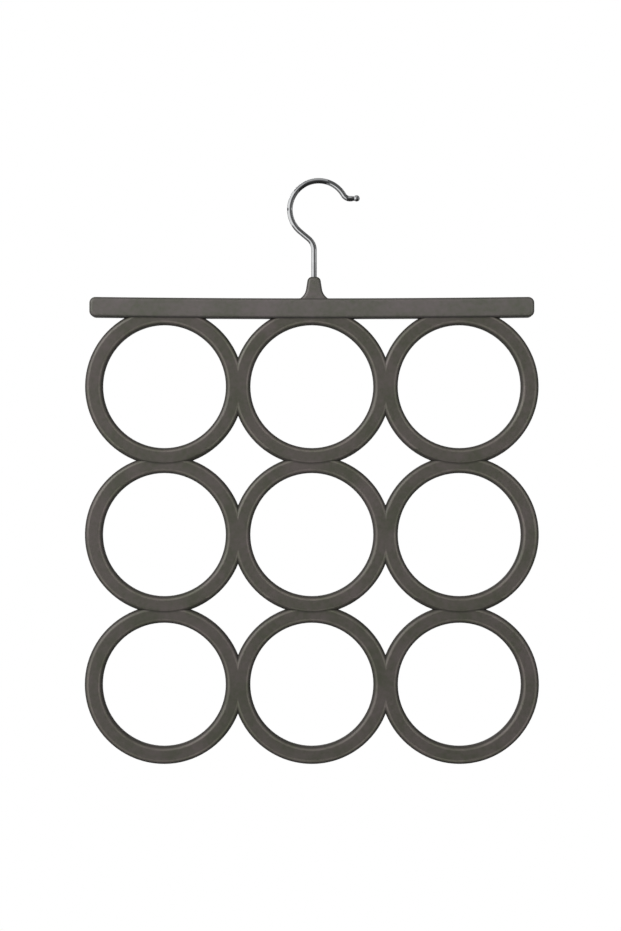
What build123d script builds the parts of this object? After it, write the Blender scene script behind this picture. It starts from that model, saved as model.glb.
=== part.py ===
from build123d import *
import math
import os

# Scarf hanger: three rows of three rings under a hollow bar, with a wire hook that swivels in its neck.
# The origin is the saddle of the hook, the underside of the wire at the top of its loop, where a rail
# carries the hanger. +Z is up, +X is to the right seen from the front, and the front faces -Y.
# Every moulding is a front and a rear half that meet on the plane Y = 0.

# Rings
ring_hole_radius = 41.7
ring_band = 12.1
ring_depth = 8.4
ring_edge_radius = 3.2
side_merge = 7.6
upper_row_lap = 7.2
lower_row_lap = 6.2
ring_wall = 1.8
column_shares = (-1, 0, 1)

# Bar
bar_height = 13.5
bar_end_inset = 3.2
bar_wall = 1.8
bar_lap = 7.7
bar_room = 0.5
bar_bow = 1.0
bow_spans = 12
bar_edge_radius = 2.5
bar_corner_radius = 4.0

# Neck
neck_height = 14.7
neck_shift = 1.5
neck_top_width = 8.2
neck_waist_width = 10.8
neck_waist_height = 6.3
neck_foot_width = 19.4
neck_setback = 1.5
neck_top_radius = 3.2
neck_edge_radius = 2.4

# Hook
wire_diameter = 3.8
loop_radius = 19.6
loop_end_angle = 30.0
stem_offset = 3.2
stem_rise = 18.4
bend_radius = 10.0
bend_angle = 50.0
tip_bend_radius = 4.8
tip_bend_angle = 63.0
tip_run = 4.3
ball_diameter = 4.4
stem_tail = 1.6
stem_chamfer = 0.4
groove_depth = 0.5

# Swivel in the neck
bush_recess = 1.5
bush_length = 9.4
bush_wall = 1.0
flange_rim = 0.6
flange_thickness = 1.2
washer_rim = 1.3
washer_thickness = 0.8
retainer_rim = 1.2
retainer_thickness = 0.8
retainer_mouth = 2.0

# Posts and sockets moulded on the shells
tie_post_radius = 1.6
bar_post_radius = 2.0
post_reach = 1.4
bar_post_reach = 3.0
socket_wall = 0.85
lap_socket_wall = 1.0
socket_bite = 1.0

# Clearances and small edges
running_clearance = 0.05
seat_clearance = 0.05
lap_clearance = 0.15
crease_relief = 0.5
post_clearance = 0.15
post_end_clearance = 0.2
mouth_clearance = 0.25
chamber_clearance = 0.3
washer_clearance = 0.15
groove_clearance = 0.05
parting_groove = 0.25
inside_corner = 0.4
cut_overrun = 1.0

# Places that follow from the sizes above
wire_radius = wire_diameter / 2
loop_z = wire_radius - loop_radius
stem_x = -stem_offset
bend = math.radians(bend_angle)
tangent_x = -loop_radius * math.cos(bend)
tangent_z = loop_z - loop_radius * math.sin(bend)
corner_z = tangent_z - (stem_x - tangent_x) / math.tan(bend)
bend_start_z = corner_z - bend_radius * math.tan(bend / 2)
neck_top_z = bend_start_z - stem_rise
bar_top_z = neck_top_z - neck_height
bar_x = stem_x - neck_shift

ring_outer_radius = ring_hole_radius + ring_band
ring_half_depth = ring_depth / 2
column_pitch = 2 * ring_outer_radius - side_merge
column_places = [bar_x + share * column_pitch for share in column_shares]
top_row_z = bar_top_z - bar_height + bar_lap - ring_outer_radius
middle_row_z = top_row_z - 2 * ring_outer_radius + upper_row_lap
bottom_row_z = middle_row_z - 2 * ring_outer_radius + lower_row_lap

bar_roof = ring_half_depth + bar_room
bar_half_depth = bar_roof + bar_wall
bar_length = column_pitch * (len(column_shares) - 1) + 2 * (ring_outer_radius - bar_end_inset)
bar_mid_z = bar_top_z - bar_height / 2
neck_half_depth = bar_half_depth - neck_setback

bush_top_z = neck_top_z - bush_recess
bush_bottom_z = bush_top_z - bush_length
bush_bore_radius = wire_radius + running_clearance
bush_radius = bush_bore_radius + bush_wall
flange_radius = bush_radius + flange_rim
flange_top_z = bush_bottom_z + flange_thickness
washer_bottom_z = bush_bottom_z - washer_thickness
groove_radius = wire_radius - groove_depth
retainer_bottom_z = washer_bottom_z - retainer_thickness
groove_bottom_z = retainer_bottom_z - groove_clearance
stem_end_z = groove_bottom_z - stem_tail

# Front halves lie towards +1 on the normal of the XZ plane, rear halves towards -1
front = 1
rear = -1

os.makedirs("parts", exist_ok=True)


def write_piece(piece, name):
    piece.part.label = name
    export_step(piece.part, f"parts/{name}.step")


# Half of one ring with rounded rims, turned about its own centre line.
# grow offsets it: 0 is the ring itself, less is its hollow, more is the room that it needs.
# relief makes the rims sharper, so that a cope leaves a small groove beside the ring that it fits.
def ring_half(x, z, grow, toward, relief=0, mode=Mode.ADD):
    inner = ring_hole_radius - grow
    outer = ring_outer_radius + grow
    face = -toward * (ring_half_depth + grow)
    base = 0 if grow == 0 else toward * cut_overrun
    rim_radius = max(ring_edge_radius + grow - relief, inside_corner)
    with BuildSketch(Plane((x, 0, z))) as profile:
        with BuildLine():
            Polyline((inner, base), (outer, base), (outer, face), (inner, face), close=True)
        make_face()
        rims = vertices().group_by(Axis.Y)[0 if toward == front else -1]
        fillet(rims, radius=rim_radius)
        if grow == 0:
            seam = vertices().group_by(Axis.Y)[-1 if toward == front else 0]
            chamfer(seam, length=parting_groove)
    revolve(profile.sketch, axis=Axis((x, 0, z), (0, 1, 0)), mode=mode)


# Round posts, holes or pillars along Y, from one depth to another, measured towards the shell's own face.
def round_along_y(places, radius, low, high, toward, mode=Mode.ADD):
    with BuildSketch(Plane.XZ.offset(toward * low)) as section:
        with Locations(*places):
            Circle(radius)
    extrude(section.sketch, amount=toward * (high - low), mode=mode)


# The hollow of a row of rings. It keeps a wall beside the rings that its row is coped round, and leaves
# out the pillars, which are pairs of places and a radius.
def row_hollow(row_z, coped_z, pillars, toward):
    with BuildPart() as hollow:
        for x in column_places:
            ring_half(x, row_z, -ring_wall, toward)
        if coped_z is not None:
            for x in column_places:
                ring_half(x, coped_z, lap_clearance + ring_wall, toward, crease_relief, Mode.SUBTRACT)
        for places, radius in pillars:
            round_along_y(places, radius, -2 * cut_overrun, ring_depth, toward, Mode.SUBTRACT)
    return hollow.part


# One half of a row: rings with their hollow and pillars, and the cope round the rings of the next row.
def row_half(row_z, coped_z, pillars, toward):
    hollow = row_hollow(row_z, coped_z, pillars, toward)
    with BuildPart() as half:
        for x in column_places:
            ring_half(x, row_z, 0, toward)
        add(hollow, mode=Mode.SUBTRACT)
        if coped_z is not None:
            for x in column_places:
                ring_half(x, coped_z, lap_clearance, toward, crease_relief, Mode.SUBTRACT)
    return half.part


# Points of a bowed edge of the bar, from its left end to its right end.
def bowed_edge(half_length, height):
    places = [2 * step / bow_spans - 1 for step in range(bow_spans + 1)]
    return [(half_length * place, height + bar_bow * place**2) for place in places]


# Half of the bar, slightly bowed so that its ends stand higher than its middle.
def bar_half(grow, toward):
    half_length = bar_length / 2 + grow
    top = bar_height / 2 + grow
    edge_radius = max(bar_edge_radius + grow, inside_corner)
    with BuildPart() as half:
        with BuildSketch(Plane.XZ.shift_origin((bar_x, 0, bar_mid_z))):
            with BuildLine():
                Polyline(*bowed_edge(half_length, top), *reversed(bowed_edge(half_length, -top)), close=True)
            make_face()
            ends = vertices().group_by(Axis.X)
            fillet(ends[0] + ends[-1], radius=max(bar_corner_radius + grow, inside_corner))
        extrude(amount=toward * (bar_half_depth + grow))
        face_edges = edges().group_by(Axis.Y)[0 if toward == front else -1]
        fillet(face_edges, radius=edge_radius)
    return half.part


# Half of the neck: rounded top, slight taper, and a flare down to the bar.
def neck_half(toward):
    top_half = neck_top_width / 2
    waist_half = neck_waist_width / 2
    foot_half = neck_foot_width / 2
    root = -bar_height / 2
    with BuildPart() as half:
        with BuildSketch(Plane.XZ.shift_origin((stem_x, 0, bar_top_z))):
            with BuildLine():
                side = Line((top_half, neck_height), (waist_half, neck_waist_height))
                TangentArc((waist_half, neck_waist_height), (foot_half, 0), tangent=side % 1)
                Polyline((foot_half, 0), (foot_half, root), (0, root), (0, neck_height), (top_half, neck_height))
            make_face()
            mirror(about=Plane.YZ)
            fillet(vertices().group_by(Axis.Y)[-1], radius=neck_top_radius)
        extrude(amount=toward * neck_half_depth)
        face_edges = edges().group_by(Axis.Y)[0 if toward == front else -1]
        fillet(face_edges, radius=neck_edge_radius)
    return half.part


# A round hole about the stem's axis, from one height down to another.
def bore_about_stem(radius, top_z, bottom_z):
    with BuildSketch(Plane.XY.offset(bottom_z)) as section:
        with Locations((stem_x, 0)):
            Circle(radius)
    extrude(section.sketch, amount=top_z - bottom_z, mode=Mode.SUBTRACT)


# The room inside a half of the bar: its hollow and the slots of the upper rings, less the pillars.
def bar_room_half(pillars, toward):
    hollow = bar_half(-bar_wall, toward)
    with BuildPart() as inside:
        add(hollow)
        for x in column_places:
            ring_half(x, top_row_z, lap_clearance, toward)
        for places, radius in pillars:
            round_along_y(places, radius, -2 * cut_overrun, bar_half_depth, toward, Mode.SUBTRACT)
    return inside.part


# One half of the bar with its neck, room and the seat of the bush.
def bar_with_neck(pillars, toward):
    body = bar_half(0, toward)
    neck = neck_half(toward)
    inside = bar_room_half(pillars, toward)
    with BuildPart() as half:
        add(body)
        add(neck)
        add(inside, mode=Mode.SUBTRACT)
        bore_about_stem(wire_radius + mouth_clearance, neck_top_z + cut_overrun, bush_top_z)
        bore_about_stem(bush_radius + seat_clearance, bush_top_z, flange_top_z)
        bore_about_stem(flange_radius + chamber_clearance, flange_top_z, bar_mid_z)
    return half.part


# Hook: one wire with a groove near the foot of its stem and a ball on its free end
with BuildPart() as swivel_hook:
    with BuildLine(Plane.XZ):
        stem = Line((stem_x, stem_end_z), (stem_x, bend_start_z))
        lower_bend = JernArc(stem @ 1, stem % 1, bend_radius, bend_angle)
        slant = Line(lower_bend @ 1, (tangent_x, tangent_z))
        loop = JernArc(slant @ 1, slant % 1, loop_radius, loop_end_angle - bend_angle - 180)
        tip_bend = JernArc(loop @ 1, loop % 1, tip_bend_radius, tip_bend_angle)
        tip = Line(tip_bend @ 1, tip_bend @ 1 + tip_run * (tip_bend % 1))
    with BuildSketch(Plane.XY.offset(stem_end_z)):
        with Locations((stem_x, 0)):
            Circle(wire_radius)
    sweep()
    with Locations(tip @ 1):
        Sphere(ball_diameter / 2)
    with BuildSketch(Plane.XY.offset(groove_bottom_z)):
        with Locations((stem_x, 0)):
            Circle(wire_radius + cut_overrun)
            Circle(groove_radius, mode=Mode.SUBTRACT)
    extrude(amount=washer_bottom_z - groove_bottom_z, mode=Mode.SUBTRACT)
    chamfer(edges().group_by(Axis.Z)[0], length=stem_chamfer)
write_piece(swivel_hook, "swivel_hook")

# Bush with a flange at its foot, which the neck rests on
with BuildPart() as neck_bush:
    with BuildSketch(Plane.XY.offset(bush_bottom_z)):
        with Locations((stem_x, 0)):
            Circle(flange_radius)
    extrude(amount=flange_thickness)
    with BuildSketch(Plane.XY.offset(flange_top_z)):
        with Locations((stem_x, 0)):
            Circle(bush_radius)
    extrude(amount=bush_top_z - flange_top_z)
    with BuildSketch(Plane.XY.offset(bush_bottom_z)):
        with Locations((stem_x, 0)):
            Circle(bush_bore_radius)
    extrude(amount=bush_length, mode=Mode.SUBTRACT)
write_piece(neck_bush, "neck_bush")

# Washer between the flange and the spring ring
with BuildPart() as thrust_washer:
    with BuildSketch(Plane.XY.offset(washer_bottom_z)):
        with Locations((stem_x, 0)):
            Circle(wire_radius + washer_rim)
            Circle(wire_radius + washer_clearance, mode=Mode.SUBTRACT)
    extrude(amount=washer_thickness)
write_piece(thrust_washer, "thrust_washer")

# Open spring ring that snaps into the groove
with BuildPart() as hook_retaining_ring:
    with BuildSketch(Plane.XY.offset(retainer_bottom_z)):
        with Locations((stem_x, 0)):
            Circle(wire_radius + retainer_rim)
            Circle(groove_radius + groove_clearance, mode=Mode.SUBTRACT)
        with Locations((stem_x + wire_radius, 0)):
            Rectangle(2 * wire_radius, retainer_mouth, mode=Mode.SUBTRACT)
    extrude(amount=retainer_thickness)
write_piece(hook_retaining_ring, "hook_retaining_ring")

# Bar halves: long posts go through the tops of the upper rings, short ones tie the halves between them
ring_post_z = bar_top_z - bar_height + bar_lap / 2
ring_post_places = [(x, ring_post_z) for x in column_places]
ring_socket_radius = bar_post_radius + post_clearance
ring_socket_floor = bar_roof + socket_bite
ring_post_end = ring_socket_floor - post_end_clearance
between_shares = (-0.5, 0.5)
between_places = [bar_x + share * column_pitch for share in between_shares]
bar_end_x = bar_length / 2 - bar_corner_radius - tie_post_radius - bar_wall
bar_tie_places = [(x, bar_mid_z) for x in between_places]
bar_tie_places += [(bar_x - bar_end_x, bar_mid_z + bar_bow), (bar_x + bar_end_x, bar_mid_z + bar_bow)]
tie_socket_radius = tie_post_radius + post_clearance
bar_socket_depth = bar_post_reach + post_end_clearance

front_pillars = [(ring_post_places, bar_post_radius), (bar_tie_places, tie_post_radius)]
front_half = bar_with_neck(front_pillars, front)
with BuildPart() as bar_front_shell:
    add(front_half)
    round_along_y(ring_post_places, bar_post_radius, -ring_post_end, 0, front)
    round_along_y(bar_tie_places, tie_post_radius, -bar_post_reach, 0, front)
write_piece(bar_front_shell, "bar_front_shell")

rear_pillars = [(bar_tie_places, tie_socket_radius + socket_wall)]
rear_half = bar_with_neck(rear_pillars, rear)
with BuildPart() as bar_rear_shell:
    add(rear_half)
    round_along_y(bar_tie_places, tie_socket_radius, -cut_overrun, bar_socket_depth, rear, Mode.SUBTRACT)
    round_along_y(ring_post_places, ring_socket_radius, 0, ring_socket_floor, rear, Mode.SUBTRACT)
write_piece(bar_rear_shell, "bar_rear_shell")

# Rows of rings: each front half is coped round the row above, each rear half round the row below,
# so a front half hangs over the row beneath it and its lap posts go into that row's rear half
rows = (
    ("top_row", top_row_z, None, middle_row_z, 0, upper_row_lap),
    ("middle_row", middle_row_z, top_row_z, bottom_row_z, upper_row_lap, lower_row_lap),
    ("bottom_row", bottom_row_z, middle_row_z, None, lower_row_lap, 0),
)
ring_middle_radius = (ring_hole_radius + ring_outer_radius) / 2
row_end_x = column_pitch + ring_middle_radius
socket_depth = post_reach + post_end_clearance

for name, row_z, above_z, below_z, lap_above, lap_below in rows:
    tie_places = [(bar_x - row_end_x, row_z), (bar_x + row_end_x, row_z)]
    tie_places += [(x, row_z) for x in between_places]
    lap_below_places = [(x, row_z - ring_outer_radius + lap_below / 2) for x in column_places]
    lap_above_places = [(x, row_z + ring_outer_radius - lap_above / 2) for x in column_places]
    lap_socket_radius = (lap_above - ring_wall) / 2 - lap_socket_wall
    lap_post_radius = (lap_below - ring_wall) / 2 - lap_socket_wall - post_clearance

    front_pillars = [(tie_places, tie_post_radius)]
    if above_z is None:
        front_pillars.append((ring_post_places, ring_socket_radius + socket_wall))
    if below_z is not None:
        front_pillars.append((lap_below_places, lap_post_radius))
    front_half = row_half(row_z, above_z, front_pillars, front)
    with BuildPart() as row_front_shell:
        add(front_half)
        round_along_y(tie_places, tie_post_radius, -post_reach, 0, front)
        if above_z is None:
            round_along_y(ring_post_places, ring_socket_radius, -cut_overrun, ring_depth, front, Mode.SUBTRACT)
        if below_z is not None:
            round_along_y(lap_below_places, lap_post_radius, -post_reach, 0, front)
    write_piece(row_front_shell, f"{name}_front_shell")

    rear_pillars = [(tie_places, tie_socket_radius + socket_wall)]
    if above_z is None:
        rear_pillars.append((ring_post_places, ring_socket_radius + socket_wall))
    else:
        rear_pillars.append((lap_above_places, lap_socket_radius + lap_socket_wall))
    rear_half = row_half(row_z, below_z, rear_pillars, rear)
    with BuildPart() as row_rear_shell:
        add(rear_half)
        round_along_y(tie_places, tie_socket_radius, -cut_overrun, socket_depth, rear, Mode.SUBTRACT)
        if above_z is None:
            round_along_y(ring_post_places, ring_socket_radius, -cut_overrun, ring_depth, rear, Mode.SUBTRACT)
        else:
            round_along_y(lap_above_places, lap_socket_radius, -cut_overrun, socket_depth, rear, Mode.SUBTRACT)
    write_piece(row_rear_shell, f"{name}_rear_shell")
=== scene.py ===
import math

import bpy
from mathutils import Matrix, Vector


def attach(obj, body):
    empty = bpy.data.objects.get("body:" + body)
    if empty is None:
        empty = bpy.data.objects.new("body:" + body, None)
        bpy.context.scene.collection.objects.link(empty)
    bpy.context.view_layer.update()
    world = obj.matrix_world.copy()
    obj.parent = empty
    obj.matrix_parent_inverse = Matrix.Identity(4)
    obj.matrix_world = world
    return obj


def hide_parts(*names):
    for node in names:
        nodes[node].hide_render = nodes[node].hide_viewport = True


# Scarf hanger: nine moulded rings under a bar, on a chromed wire hook. Metres, +Z up, the front faces -Y.
# The plastic shells, washer, spring ring and bush come from the frame. The hook's wire is modelled here.

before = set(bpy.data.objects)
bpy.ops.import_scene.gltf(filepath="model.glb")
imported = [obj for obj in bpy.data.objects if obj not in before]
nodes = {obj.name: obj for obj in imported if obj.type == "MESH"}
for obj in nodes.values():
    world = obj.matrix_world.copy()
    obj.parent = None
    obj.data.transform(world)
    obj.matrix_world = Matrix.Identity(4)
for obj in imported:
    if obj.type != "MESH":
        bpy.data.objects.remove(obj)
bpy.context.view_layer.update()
print("frame loaded:", len(nodes), "nodes")


# helpers for modelling
def deselectAll():
    if bpy.context.object and bpy.context.object.mode != "OBJECT":
        bpy.ops.object.mode_set(mode="OBJECT")
    bpy.ops.object.select_all(action="DESELECT")


def ringCentre():  # middle of the corners that are selected in edit mode
    mesh = bpy.context.object.data
    bpy.ops.object.mode_set(mode="OBJECT")
    corners = [v.co.copy() for v in mesh.vertices if v.select]
    bpy.ops.object.mode_set(mode="EDIT")
    return sum(corners, Vector()) / len(corners)


def extrudeRing(step, scale=1.0):
    bpy.ops.mesh.extrude_region_move(TRANSFORM_OT_translate={"value": tuple(step)})
    if scale != 1.0:
        bpy.ops.transform.resize(value=(scale,) * 3, center_override=tuple(ringCentre()))


def spinRing(degrees, centre, steps):
    bpy.ops.mesh.spin(steps=steps, angle=math.radians(degrees), center=tuple(centre), axis=(0, 1, 0),
                      use_auto_merge=False, dupli=False)


# helpers for materials
def addNode(tree, kind, **values):
    node = tree.nodes.new(kind)
    for key, value in values.items():
        setattr(node, key, value)
    return node


def newMaterial(name):
    material = bpy.data.materials.new(name)
    material.use_nodes = True
    tree = material.node_tree
    return material, tree, tree.nodes["Principled BSDF"]


def emptyTree(tree):
    for node in list(tree.nodes):
        tree.nodes.remove(node)
    return tree


def addGroup(tree, group, values):
    node = addNode(tree, "ShaderNodeGroup", node_tree=group)
    for key, value in values.items():
        node.inputs[key].default_value = value
    return node


def newGroup(name, inputs, outputs):
    group = bpy.data.node_groups.new(name, "ShaderNodeTree")
    for socketName, value in inputs.items():
        socket = group.interface.new_socket(socketName, in_out="INPUT", socket_type="NodeSocketFloat")
        socket.default_value = value
    for socketName in outputs:
        group.interface.new_socket(socketName, in_out="OUTPUT", socket_type="NodeSocketFloat")
    return group, addNode(group, "NodeGroupInput"), addNode(group, "NodeGroupOutput")


def mathSteps(tree):  # gives a function that adds one math node and returns what it puts out
    def step(operation, *values):
        node = addNode(tree, "ShaderNodeMath", operation=operation)
        for i, value in enumerate(values):
            if isinstance(value, float):
                node.inputs[i].default_value = value
            else:
                tree.links.new(value, node.inputs[i])
        return node.outputs["Value"]

    return step


def scaleTo(tree, value, low, high):  # turns 0 to 1 into low to high
    node = addNode(tree, "ShaderNodeMapRange")
    node.inputs["To Min"].default_value = low
    node.inputs["To Max"].default_value = high
    tree.links.new(value, node.inputs["Value"])
    return node.outputs["Result"]


# Blotches: slow changes of tone over a piece, with a finer cloud on top
cloud = {"broadDetail": 2.0, "fineDetail": 3.0, "spreadFrom": (0.36, 0.64)}


def makeBlotches():
    group, given, out = newGroup("blotches", {"Size": 60.0, "Fine Size": 400.0, "Fine Share": 0.3}, ["Value"])
    link = group.links.new
    where = addNode(group, "ShaderNodeTexCoord")
    mix = addNode(group, "ShaderNodeMix", data_type="FLOAT")
    link(given.outputs["Fine Share"], mix.inputs["Factor"])
    for size, detail, socket in (("Size", "broadDetail", "A"), ("Fine Size", "fineDetail", "B")):
        noise = addNode(group, "ShaderNodeTexNoise")
        noise.inputs["Detail"].default_value = cloud[detail]
        link(where.outputs["Object"], noise.inputs["Vector"])
        link(given.outputs[size], noise.inputs["Scale"])
        link(noise.outputs["Fac"], mix.inputs[socket])
    spread = addNode(group, "ShaderNodeMapRange")
    spread.inputs["From Min"].default_value, spread.inputs["From Max"].default_value = cloud["spreadFrom"]
    link(mix.outputs["Result"], spread.inputs["Value"])
    link(spread.outputs["Result"], out.inputs["Value"])
    return group


# Rims: how far the surface has rounded away from the flat front and rear faces, read from its depth.
# Wall is 1 on the side walls, where painted shade darkens the colour, and Edge is 1 on the first part of the
# rounding, where a painted highlight lightens it.
# Normals count as well where a piece has flat faces further back, as the neck has.
rimBands = {"wallStart": 0.91, "wallEnd": 0.66, "highlightFrom": (0.9995, 0.983), "highlightTo": (0.83, 0.94)}


def makeRims():
    group, given, out = newGroup("rims", {"Half Depth": 0.0042, "Radius": 0.0032, "Normals": 0.0},
                                 ["Wall", "Edge"])
    link = group.links.new
    step = mathSteps(group)
    where = addNode(group, "ShaderNodeTexCoord")
    place = addNode(group, "ShaderNodeSeparateXYZ")
    turn = addNode(group, "ShaderNodeSeparateXYZ")
    link(where.outputs["Object"], place.inputs["Vector"])
    link(where.outputs["Normal"], turn.inputs["Vector"])
    flatDepth = step("SUBTRACT", given.outputs["Half Depth"], given.outputs["Radius"])
    byDepth = step("DIVIDE", step("SUBTRACT", step("ABSOLUTE", place.outputs["Y"]), flatDepth),
                   given.outputs["Radius"])
    byNormal = step("MULTIPLY", step("ABSOLUTE", turn.outputs["Y"]), given.outputs["Normals"])
    facing = step("MAXIMUM", byDepth, byNormal)  # 1 on the flat faces, 0 where the walls are upright

    def band(low, high):
        ramp = addNode(group, "ShaderNodeMapRange", interpolation_type="SMOOTHSTEP")
        link(facing, ramp.inputs["Value"])
        ramp.inputs["From Min"].default_value = low
        ramp.inputs["From Max"].default_value = high
        return ramp.outputs["Result"]

    link(band(rimBands["wallStart"], rimBands["wallEnd"]), out.inputs["Wall"])
    link(step("MULTIPLY", band(*rimBands["highlightFrom"]), band(*rimBands["highlightTo"])), out.inputs["Edge"])
    return group


# Grain: the fine sparked texture of a mould's face, as a height
sparks = {"detail": 2.0, "roughness": 0.6}


def makeGrain():
    group, given, out = newGroup("mould grain", {"Size": 1800.0}, ["Height"])
    link = group.links.new
    where = addNode(group, "ShaderNodeTexCoord")
    pits = addNode(group, "ShaderNodeTexNoise")
    pits.inputs["Detail"].default_value = sparks["detail"]
    pits.inputs["Roughness"].default_value = sparks["roughness"]
    link(where.outputs["Object"], pits.inputs["Vector"])
    link(given.outputs["Size"], pits.inputs["Scale"])
    link(pits.outputs["Fac"], out.inputs["Height"])
    return group


# Seam shade: the mask of painted shade, a soft band along the lower or upper arc of a row's rings, where the
# next row is fitted round them
def makeSeamShade():
    group, given, out = newGroup("seamShadeGroup", {
        "Row Z": 0.0, "Contact Z": 0.0, "Toward": -1.0, "Middle X": 0.0, "Pitch": 0.1, "Radius": 0.05,
        "Half Width": 0.001, "Reach": 0.01}, ["Mask"])
    link = group.links.new
    step = mathSteps(group)
    where = addNode(group, "ShaderNodeTexCoord")
    split = addNode(group, "ShaderNodeSeparateXYZ")
    link(where.outputs["Object"], split.inputs["Vector"])
    halfPitch = step("MULTIPLY", given.outputs["Pitch"], 0.5)
    shifted = step("SUBTRACT", split.outputs["X"], given.outputs["Middle X"])
    across = step("WRAP", shifted, halfPitch, step("MULTIPLY", halfPitch, -1.0))  # from the nearest ring
    height = step("SUBTRACT", split.outputs["Z"], given.outputs["Row Z"])
    away = step("SQRT", step("ADD", step("MULTIPLY", across, across), step("MULTIPLY", height, height)))
    off = step("ABSOLUTE", step("SUBTRACT", away, given.outputs["Radius"]))
    band = addNode(group, "ShaderNodeMapRange", interpolation_type="SMOOTHSTEP")
    link(off, band.inputs["Value"])
    link(given.outputs["Half Width"], band.inputs["From Min"])
    band.inputs["From Max"].default_value = 0.0
    fromContact = step("ABSOLUTE", step("SUBTRACT", split.outputs["Z"], given.outputs["Contact Z"]))
    near = step("LESS_THAN", fromContact, given.outputs["Reach"])
    side = step("GREATER_THAN", step("MULTIPLY", split.outputs["Y"], given.outputs["Toward"]), 0.0)
    link(step("MULTIPLY", band.outputs["Result"], step("MULTIPLY", near, side)), out.inputs["Mask"])
    return group


blotches = makeBlotches()
rims = makeRims()
mouldGrain = makeGrain()
seamShadeGroup = makeSeamShade()


def addBump(tree, shader, size, strength, distance):  # grain as bump on the shader
    grain = addGroup(tree, mouldGrain, {"Size": size})
    bump = addNode(tree, "ShaderNodeBump")
    bump.inputs["Strength"].default_value = strength
    bump.inputs["Distance"].default_value = distance
    tree.links.new(grain.outputs["Height"], bump.inputs["Height"])
    tree.links.new(bump.outputs["Normal"], shader.inputs["Normal"])


# taupe plastic of the bar and the rings
plastic = {
    "oliveTone": (0.0590, 0.0590, 0.0425),
    "tone": (0.072, 0.0645, 0.0543),
    "mauveTone": (0.0828, 0.0690, 0.0640),
    "toneSize": 42.0,
    "fineSize": 330.0,
    "fineShare": 0.45,
    "highlightPatchSize": 31.0,
    "highlightPatchFineSize": 140.0,
    "highlightLeast": 0.35,
    "wallShadeShare": 0.55,
    "wallRoughness": 0.75,
    "roughness": (0.36, 0.46),
    "grainSize": 1800.0,
    "bump": 0.05,
    "bumpDistance": 0.0001,
    "ior": 1.5,
}

# painted light and shade: the bar is lighter than the rings, and the lowest row a little darker than those
# above it, as lit and shaded copies of one plastic
barRims = {"Half Depth": 0.0065, "Radius": 0.0025, "Normals": 1.0}
ringRims = {"Half Depth": 0.0042, "Radius": 0.0032, "Normals": 0.0}
mouldings = {
    "bar": {"shade": (1.73, 1.78, 1.89), "edgeHighlight": 1.12, "rims": barRims, "seamShaded": False},
    "top": {"shade": (1.245,) * 3, "edgeHighlight": 1.90, "rims": ringRims, "seamShaded": True},
    "middle": {"shade": (1.24,) * 3, "edgeHighlight": 1.90, "rims": ringRims, "seamShaded": True},
    "bottom": {"shade": (1.185,) * 3, "edgeHighlight": 1.90, "rims": ringRims, "seamShaded": True},
}

# painted shade where the rows meet: the front seams follow the row above, the rear seams the row below
seamShade = {
    "middleX": -0.0047,
    "pitch": 0.100,
    "radius": 0.0519,
    "halfWidth": 0.0016,
    "reach": 0.008,
    "share": 0.54,
    "rows": {"top": -0.137964, "middle": -0.238364, "bottom": -0.339764},
}


def addSeamShade(tree):
    step = mathSteps(tree)
    rows = seamShade["rows"]
    total = None
    for upper, lower in (("top", "middle"), ("middle", "bottom")):
        contact = (rows[upper] + rows[lower]) / 2
        for row, toward in ((upper, -1.0), (lower, 1.0)):
            mask = addGroup(tree, seamShadeGroup, {
                "Row Z": rows[row], "Contact Z": contact, "Toward": toward, "Middle X": seamShade["middleX"],
                "Pitch": seamShade["pitch"], "Radius": seamShade["radius"], "Half Width": seamShade["halfWidth"],
                "Reach": seamShade["reach"]}).outputs["Mask"]
            total = step("MAXIMUM", total, mask) if total else mask
    return total


def makePlastic(name, settings):
    material, tree, shader = newMaterial(name)
    link = tree.links.new
    step = mathSteps(tree)
    slow = addGroup(tree, blotches, {"Size": plastic["toneSize"], "Fine Size": plastic["fineSize"],
                                     "Fine Share": plastic["fineShare"]}).outputs["Value"]
    tint = addNode(tree, "ShaderNodeValToRGB")
    stops = tint.color_ramp.elements
    stops.new(0.5)
    for stop, tone in zip(stops, ("oliveTone", "tone", "mauveTone")):
        stop.color = [c * s for c, s in zip(plastic[tone], settings["shade"])] + [1]
    link(slow, tint.inputs["Fac"])
    turned = addGroup(tree, rims, settings["rims"])
    patches = addGroup(tree, blotches, {"Size": plastic["highlightPatchSize"], "Fine Size": plastic["highlightPatchFineSize"],
                                        "Fine Share": plastic["fineShare"]}).outputs["Value"]
    uneven = scaleTo(tree, patches, plastic["highlightLeast"], 1.0)  # the painted highlight comes and goes along an edge
    paintedEdgeHighlight = step("MULTIPLY", turned.outputs["Edge"], uneven)
    highlightGain = scaleTo(tree, paintedEdgeHighlight, 1.0, settings["edgeHighlight"])  # painted highlight on the first part of the edges' rounding
    wallShade = scaleTo(tree, turned.outputs["Wall"], 1.0, plastic["wallShadeShare"])  # painted shade darkens the side walls; they are duller too
    shade = step("MULTIPLY", highlightGain, wallShade)
    if settings["seamShaded"]:  # painted shade darkens the seams
        shade = step("MULTIPLY", shade, scaleTo(tree, addSeamShade(tree), 1.0, seamShade["share"]))
    tone = addNode(tree, "ShaderNodeVectorMath", operation="SCALE")
    link(tint.outputs["Color"], tone.inputs[0])
    link(shade, tone.inputs["Scale"])
    link(tone.outputs["Vector"], shader.inputs["Base Color"])
    dull = addNode(tree, "ShaderNodeMix", data_type="FLOAT")
    dull.inputs["B"].default_value = plastic["wallRoughness"]
    link(turned.outputs["Wall"], dull.inputs["Factor"])
    link(scaleTo(tree, slow, *plastic["roughness"]), dull.inputs["A"])
    link(dull.outputs["Result"], shader.inputs["Roughness"])
    addBump(tree, shader, plastic["grainSize"], plastic["bump"], plastic["bumpDistance"])
    shader.inputs["IOR"].default_value = plastic["ior"]
    return material


plastics = {row: makePlastic(row + "Plastic", settings) for row, settings in mouldings.items()}

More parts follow.
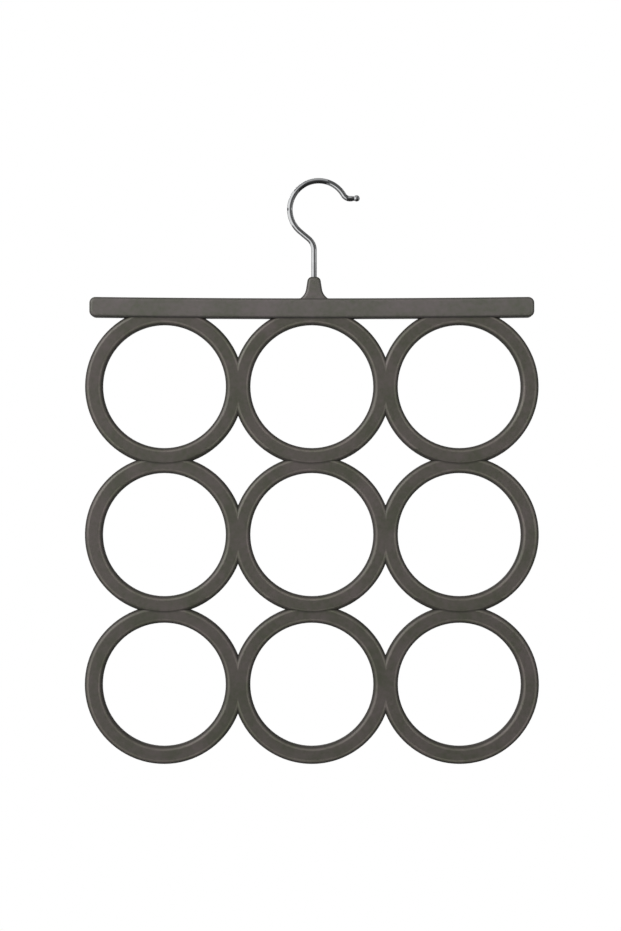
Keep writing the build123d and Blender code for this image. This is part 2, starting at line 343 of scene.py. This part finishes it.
# metals of the wire, the washer and the spring ring, and the natural white plastic of the bush
chrome = {"bright": (0.86, 0.87, 0.88, 1), "dull": (0.72, 0.73, 0.74, 1), "roughness": (0.02, 0.06),
          "size": 260.0, "bump": 0.006}
washer = {"bright": (0.55, 0.55, 0.57, 1), "dull": (0.42, 0.42, 0.43, 1), "roughness": (0.25, 0.4),
          "size": 300.0, "bump": 0.1}
spring = {"bright": (0.30, 0.30, 0.32, 1), "dull": (0.20, 0.19, 0.19, 1), "roughness": (0.3, 0.5),
          "size": 300.0, "bump": 0.1}
metal = {"fineSize": 1500.0, "fineShare": 0.4, "grainSize": 900.0, "bumpDistance": 0.00005}
bush = {"bright": (0.75, 0.74, 0.70, 1), "dull": (0.66, 0.64, 0.59, 1), "roughness": (0.25, 0.35),
        "size": 120.0, "fineSize": 700.0, "fineShare": 0.3}


def addCloudyTone(tree, shader, settings):  # two tones and two roughnesses in one cloud
    link = tree.links.new
    patches = addGroup(tree, blotches, {"Size": settings["size"], "Fine Size": settings["fineSize"],
                                        "Fine Share": settings["fineShare"]}).outputs["Value"]
    tone = addNode(tree, "ShaderNodeMix", data_type="RGBA")
    tone.inputs["A"].default_value = settings["bright"]
    tone.inputs["B"].default_value = settings["dull"]
    link(patches, tone.inputs["Factor"])
    link(tone.outputs["Result"], shader.inputs["Base Color"])
    link(scaleTo(tree, patches, *settings["roughness"]), shader.inputs["Roughness"])


def makeMetal(name, settings):
    material, tree, shader = newMaterial(name)
    addCloudyTone(tree, shader, {**metal, **settings})
    addBump(tree, shader, metal["grainSize"], settings["bump"], metal["bumpDistance"])
    shader.inputs["Metallic"].default_value = 1.0
    return material


hookChrome = makeMetal("hookChrome", chrome)
washerSteel = makeMetal("washerSteel", washer)
springSteel = makeMetal("springSteel", spring)
bushPlastic, bushTree, bushShader = newMaterial("bushPlastic")
addCloudyTone(bushTree, bushShader, bush)

# finishes by the first word of a node's name
finishes = {**plastics, "neck": bushPlastic, "thrust": washerSteel, "hook": springSteel, "swivel": hookChrome}
for name, node in nodes.items():
    for slot in node.material_slots:
        slot.material = finishes[name.split("_")[0]]
print("materials made and given to the frame's nodes")

# the hook's wire, from the foot of its stem to the ball on its free end
hook = {
    "wireRadius": 0.0019,
    "sides": 40,
    "stemX": -0.0032,
    "stemEnd": -0.077814,
    "bendStart": -0.045264,
    "bendRadius": 0.010,
    "bendAngle": 50.0,
    "bendSteps": 16,
    "loopRadius": 0.0196,
    "loopZ": -0.0177,
    "loopSweep": 200.0,
    "loopSteps": 96,
    "tipRadius": 0.0048,
    "tipAngle": 63.0,
    "tipSteps": 20,
    "tipRun": 0.0043,
    "ballRadius": 0.0022,
    "ballSteps": 14,
    "ballClose": 0.1,  # radians left open round the ball's far pole, closed by its last face
    "waistShare": 0.82,
    "waistPlaces": ((-1.50, 1.0), (-1.12, 0.90)),  # ball radii from its centre, share of the wire's radius
    "chamfer": 0.0004,
    "grooveRadius": 0.0014,
    "grooveLow": -0.076214,
    "grooveHigh": -0.075364,
    "smoothAngle": 35.0,
}


def makeHook():
    deselectAll()
    wireRadius, ballRadius = hook["wireRadius"], hook["ballRadius"]
    stem = Vector((hook["stemX"], 0, hook["stemEnd"]))
    bpy.ops.mesh.primitive_circle_add(vertices=hook["sides"], radius=wireRadius - hook["chamfer"],
                                      fill_type="NGON", location=stem)
    wire = bpy.context.object
    wire.name = "hookWire"
    bpy.ops.object.transform_apply(location=True, rotation=True, scale=True)
    bpy.ops.object.mode_set(mode="EDIT")
    bpy.ops.mesh.select_all(action="SELECT")
    full = wireRadius / (wireRadius - hook["chamfer"])
    groove = hook["grooveRadius"] / wireRadius
    extrudeRing((0, 0, hook["chamfer"]), full)
    extrudeRing((0, 0, hook["grooveLow"] - hook["stemEnd"] - hook["chamfer"]))
    extrudeRing((0, 0, 0), groove)  # the groove of the spring ring
    extrudeRing((0, 0, hook["grooveHigh"] - hook["grooveLow"]))
    extrudeRing((0, 0, 0), 1 / groove)
    extrudeRing((0, 0, hook["bendStart"] - hook["grooveHigh"]))
    bendMiddle = (hook["stemX"] - hook["bendRadius"], 0, hook["bendStart"])
    spinRing(hook["bendAngle"], bendMiddle, hook["bendSteps"])
    turn = math.radians(hook["bendAngle"])
    loopMiddle = Vector((0, 0, hook["loopZ"]))
    loopStart = loopMiddle + hook["loopRadius"] * Vector((-math.cos(turn), 0, -math.sin(turn)))
    extrudeRing(loopStart - ringCentre())
    spinRing(-hook["loopSweep"], loopMiddle, hook["loopSteps"])
    heading = math.radians(90 + hook["bendAngle"] - hook["loopSweep"])
    left = Vector((-math.sin(heading), 0, math.cos(heading)))
    spinRing(hook["tipAngle"], ringCentre() + hook["tipRadius"] * left, hook["tipSteps"])
    heading += math.radians(hook["tipAngle"])
    forward = Vector((math.cos(heading), 0, math.sin(heading)))
    ballCentre = ringCentre() + hook["tipRun"] * forward
    profile = [(place * ballRadius, share * wireRadius) for place, share in hook["waistPlaces"]]
    meet = math.asin(wireRadius * hook["waistShare"] / ballRadius)
    for i in range(hook["ballSteps"] + 1):
        angle = meet + (math.pi - hook["ballClose"] - meet) * i / hook["ballSteps"]
        profile.append((-math.cos(angle) * ballRadius, math.sin(angle) * ballRadius))
    radius, along = wireRadius, -hook["tipRun"]
    for place, wide in profile:  # waist and ball
        extrudeRing((place - along) * forward, wide / radius)
        radius, along = wide, place
    bpy.ops.mesh.select_all(action="SELECT")
    bpy.ops.mesh.normals_make_consistent(inside=False)
    bpy.ops.object.mode_set(mode="OBJECT")
    bpy.ops.object.shade_smooth_by_angle(angle=math.radians(hook["smoothAngle"]))
    print("hook wire's ball is at", [round(c * 1000, 2) for c in ballCentre], "mm")
    return wire


hookWire = makeHook()
hookWire.data.materials.append(hookChrome)
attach(hookWire, "hook")
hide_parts("swivel_hook")
print("hook made")

# floor and world: white to the camera and to reflections, with the object's shadow on the floor
stage = {
    "floorZ": -0.75,
    "floorSize": 6.0,
    "floorSides": 96,
    "centre": (-0.005, 0.0),
    "floorTone": 0.75,
    "fadeFrom": 0.30,
    "fadeTo": 0.95,
    "fadeShare": 0.35,
    "fill": 0.30,
    "fillColour": (0.95, 0.97, 1.0, 1),
    "white": (1, 1, 1, 1),
}


def cameraWhite(tree):  # 1 where the camera, glossy and transmitted rays look
    step = mathSteps(tree)
    path = addNode(tree, "ShaderNodeLightPath")
    seen = step("MAXIMUM", path.outputs["Is Camera Ray"], path.outputs["Is Glossy Ray"])
    return step("MAXIMUM", seen, path.outputs["Is Transmission Ray"])


def makeWorld():
    world = bpy.data.worlds.new("studio")
    bpy.context.scene.world = world
    world.use_nodes = True
    sky = emptyTree(world.node_tree)
    choose = addNode(sky, "ShaderNodeMixShader")
    sky.links.new(cameraWhite(sky), choose.inputs["Fac"])
    grounds = ((stage["fillColour"], stage["fill"]), (stage["white"], 1.0))
    for i, (colour, strength) in enumerate(grounds):
        ground = addNode(sky, "ShaderNodeBackground")
        ground.inputs["Color"].default_value = colour
        ground.inputs["Strength"].default_value = strength
        sky.links.new(ground.outputs["Background"], choose.inputs[i + 1])
    out = addNode(sky, "ShaderNodeOutputWorld")
    sky.links.new(choose.outputs["Shader"], out.inputs["Surface"])


def makeFloor():
    deselectAll()
    bpy.ops.mesh.primitive_circle_add(vertices=stage["floorSides"], radius=stage["floorSize"],
                                      fill_type="NGON", location=(*stage["centre"], stage["floorZ"]))
    floor = bpy.context.object
    floor.name = "floor"
    bpy.ops.object.transform_apply(location=True, rotation=True, scale=True)
    material = bpy.data.materials.new("paleFloor")
    material.use_nodes = True
    tree = emptyTree(material.node_tree)
    link = tree.links.new
    matte = addNode(tree, "ShaderNodeBsdfDiffuse")
    matte.inputs["Color"].default_value = (stage["floorTone"],) * 3 + (1,)
    white = addNode(tree, "ShaderNodeEmission")
    where = addNode(tree, "ShaderNodeTexCoord")
    split = addNode(tree, "ShaderNodeSeparateXYZ")
    flat = addNode(tree, "ShaderNodeCombineXYZ")
    far = addNode(tree, "ShaderNodeVectorMath", operation="LENGTH")
    fade = addNode(tree, "ShaderNodeMapRange", interpolation_type="SMOOTHSTEP")
    fade.inputs["From Min"].default_value = stage["fadeFrom"]
    fade.inputs["From Max"].default_value = stage["fadeTo"]
    fade.inputs["To Min"].default_value = stage["fadeShare"]
    link(where.outputs["Object"], split.inputs["Vector"])
    link(split.outputs["X"], flat.inputs["X"])
    link(split.outputs["Y"], flat.inputs["Y"])
    link(flat.outputs["Vector"], far.inputs[0])
    link(far.outputs["Value"], fade.inputs["Value"])
    share = mathSteps(tree)("MULTIPLY", fade.outputs["Result"], cameraWhite(tree))
    mix = addNode(tree, "ShaderNodeMixShader")
    out = addNode(tree, "ShaderNodeOutputMaterial")
    link(share, mix.inputs["Fac"])
    link(matte.outputs["BSDF"], mix.inputs[1])
    link(white.outputs["Emission"], mix.inputs[2])
    link(mix.outputs["Shader"], out.inputs["Surface"])
    floor.data.materials.append(material)


makeWorld()
makeFloor()

# Glowing cards that only reflections see, painted reflections: the dark ones draw the dark bands in the chrome
# and keep the rims dark, the pale ones the light bands
windowInset = 0.01  # any small step will do, because the window's corners are then set by their place
cards = {
    "low": {"at": (0.29, -0.7, -0.74), "size": (1.42, 3.4), "turn": (0, 0, 0), "tone": 0.02},
    "lowRight": {"at": (3.0, -0.7, -0.74), "size": (4.0, 3.4), "turn": (0, 0, 0), "tone": 0.10},
    "lowLeft": {"at": (-1.01, -1.65, -0.735), "size": (1.18, 1.5), "turn": (0, 0, 0), "tone": 0.80},
    "lowSide": {"at": (-0.925, 0.05, -0.735), "size": (1.35, 1.9), "turn": (0, 0, 0), "tone": 0.18},
    "frontLow": {"at": (0.65, -2.39, -0.32), "size": (1.5, 0.84), "turn": (90, 0, 0), "tone": 0.05},
    "frontRight": {"at": (0.475, -2.4, 0.38), "size": (1.85, 2.24), "turn": (90, 0, 0), "tone": 0.09},
    "frontLeft": {"at": (-1.025, -2.4, 0.38), "size": (1.15, 2.24), "turn": (90, 0, 0), "tone": 0.75},
    "right": {"at": (1.4, -1.025, 0.45), "size": (2.75, 2.1), "turn": (90, 0, 90), "tone": 0.13},
    "left": {"at": (-1.6, -0.75, 0.38), "size": (3.3, 2.24), "turn": (90, 0, 90), "tone": 0.80},
    "leftStrip": {"at": (-1.58, 0.05, 0.22), "size": (1.9, 0.14), "turn": (90, 0, 90), "tone": 0.02},
    "rightStrip": {"at": (1.38, -0.6, 0.18), "size": (1.6, 0.12), "turn": (90, 0, 90), "tone": 0.40},
    "top": {"at": (-0.6, -0.75, 1.5), "size": (2.0, 3.3), "turn": (0, 0, 0), "tone": 0.38},
    "topRight": {"at": (0.9, -0.75, 1.5), "size": (1.0, 3.3), "turn": (0, 0, 0), "tone": 0.10},
    "rear": {"at": (-0.005, 1.0, -0.2), "size": (5.0, 5.0), "turn": (90, 0, 0), "tone": 0.05,
             "window": (0.42, 0.62)},
}


def makeCard(name, card):
    deselectAll()
    bpy.ops.mesh.primitive_plane_add(size=1, location=(0, 0, 0))
    sheet = bpy.context.object
    sheet.name = name + "Card"
    sheet.scale = (*card["size"], 1)
    bpy.ops.object.transform_apply(location=False, rotation=False, scale=True)
    if "window" in card:  # an opening, through which the white behind shows in reflections
        bpy.ops.object.mode_set(mode="EDIT")
        bpy.ops.mesh.select_all(action="SELECT")
        bpy.ops.mesh.inset(thickness=windowInset)
        bpy.ops.object.mode_set(mode="OBJECT")
        for vertex in sheet.data.vertices:
            if vertex.select:
                vertex.co.x = math.copysign(card["window"][0], vertex.co.x)
                vertex.co.y = math.copysign(card["window"][1], vertex.co.y)
        bpy.ops.object.mode_set(mode="EDIT")
        bpy.ops.mesh.delete(type="ONLY_FACE")
        bpy.ops.object.mode_set(mode="OBJECT")
    sheet.rotation_euler = [math.radians(a) for a in card["turn"]]
    sheet.location = card["at"]
    bpy.ops.object.transform_apply(location=True, rotation=True, scale=True)
    material = bpy.data.materials.new(name + "Card")
    material.use_nodes = True
    tree = emptyTree(material.node_tree)
    grey = addNode(tree, "ShaderNodeEmission")
    grey.inputs["Color"].default_value = (card["tone"],) * 3 + (1,)
    out = addNode(tree, "ShaderNodeOutputMaterial")
    tree.links.new(grey.outputs["Emission"], out.inputs["Surface"])
    sheet.data.materials.append(material)
    sheet.visible_camera = False
    sheet.visible_diffuse = False
    sheet.visible_shadow = False
    sheet.visible_transmission = False


for name, card in cards.items():
    makeCard(name, card)
print("floor and cards made")

# soft lamps
lights = {
    "key": {"at": (-2.4, -2.3, 1.45), "size": (1.7, 1.7), "power": 62.0, "colour": (1.0, 0.985, 0.96),
            "glossy": True},
    "fill": {"at": (1.2, -1.5, 0.1), "size": (1.2, 1.2), "power": 11.0, "colour": (0.96, 0.98, 1.0),
             "glossy": False},
    "back": {"at": (-0.5, 1.6, 0.9), "size": (1.0, 1.0), "power": 10.0, "colour": (1.0, 1.0, 1.0),
             "glossy": True},
}
lampAim = Vector((-0.005, 0.0, -0.2))
for name, values in lights.items():
    data = bpy.data.lights.new(name, "AREA")
    data.shape = "RECTANGLE"
    data.size, data.size_y = values["size"]
    data.energy = values["power"]
    data.color = values["colour"]
    lamp = bpy.data.objects.new(name, data)
    lamp.location = values["at"]
    lamp.rotation_euler = (lampAim - Vector(values["at"])).to_track_quat("-Z", "Y").to_euler()
    lamp.visible_camera = False
    lamp.visible_glossy = values["glossy"]
    bpy.context.scene.collection.objects.link(lamp)
print("lamps placed")

# camera, almost square on to the front
camera = {"at": (-0.0056, -1.3, -0.2033), "pitch": 0.52, "focal": 1916.0, "imageHeight": 931.0, "sensor": 36.0,
          "clipStart": 0.05}  # focal length and image height in pixels
cameraData = bpy.data.cameras.new("camera")
cameraData.lens = camera["focal"] / camera["imageHeight"] * camera["sensor"]
cameraData.sensor_width = camera["sensor"]
cameraData.sensor_fit = "AUTO"
cameraData.clip_start = camera["clipStart"]
cameraObject = bpy.data.objects.new("camera", cameraData)
cameraObject.location = camera["at"]
cameraObject.rotation_euler = (math.radians(90 + camera["pitch"]), 0, 0)
bpy.context.scene.collection.objects.link(cameraObject)
bpy.context.scene.camera = cameraObject
bpy.context.scene.view_settings.view_transform = "Standard"
